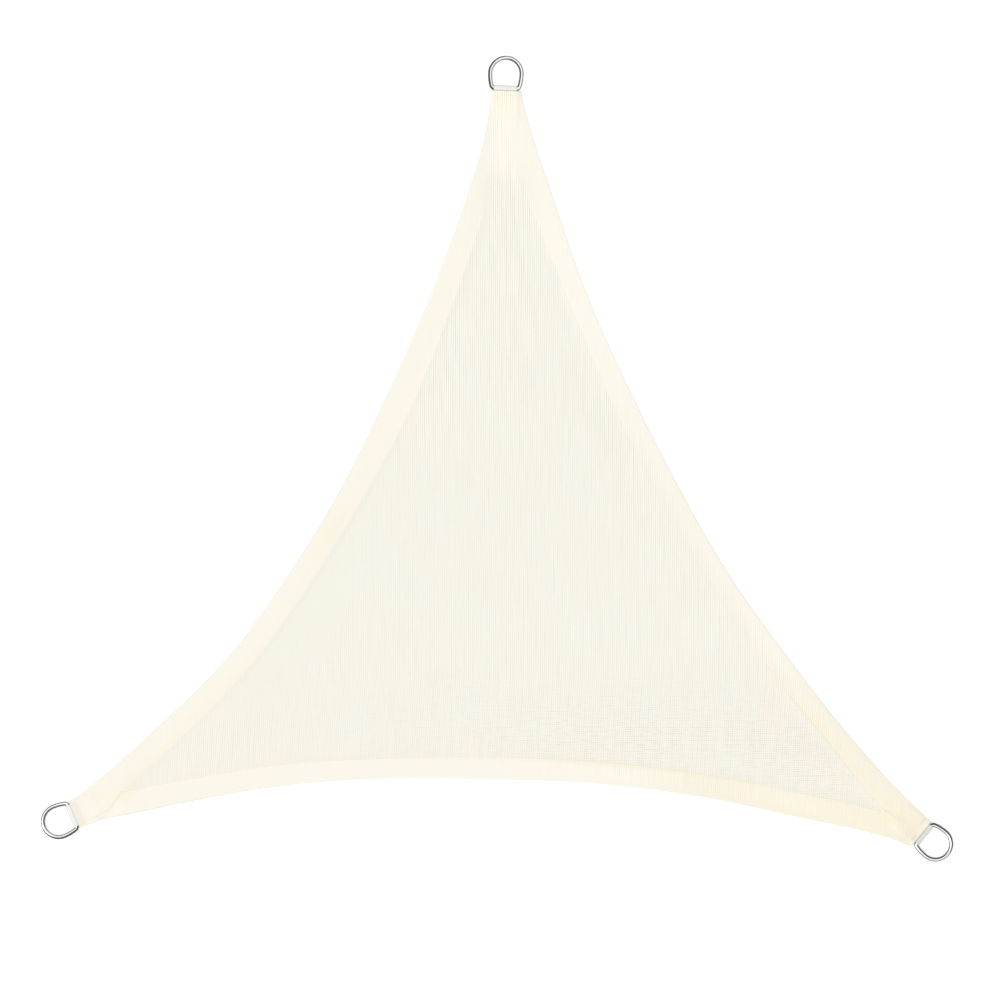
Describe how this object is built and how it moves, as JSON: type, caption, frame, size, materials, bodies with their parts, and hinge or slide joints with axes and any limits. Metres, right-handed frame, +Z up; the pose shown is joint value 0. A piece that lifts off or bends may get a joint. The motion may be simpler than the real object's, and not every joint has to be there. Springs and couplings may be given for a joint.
{
  "type": "shade sail",
  "caption": "Triangular shade sail of ivory knitted cloth with hollowed, hemmed sides and a steel D-ring in a webbing loop at each corner, lying flat.",
  "frame": {"origin": "middle of the outer box in plan, on the surface that the sail lies on", "axes": "+Z up out of the cloth's face, the hem being folded under; +Y towards the top corner; +X to the right as seen from above"},
  "size_m": [2.0068, 1.7724, 0.0146],
  "materials": {
    "shade_cloth": "matt knitted shade cloth",
    "webbing": "woven webbing",
    "ring_steel": "polished"
  },
  "bodies": {
    "root": {"sail_cloth": "shade_cloth", "webbing_loop_top": "webbing", "webbing_loop_left": "webbing", "webbing_loop_right": "webbing", "d_ring_top": "ring_steel", "d_ring_left": "ring_steel", "d_ring_right": "ring_steel"}
  },
  "joints": []
}
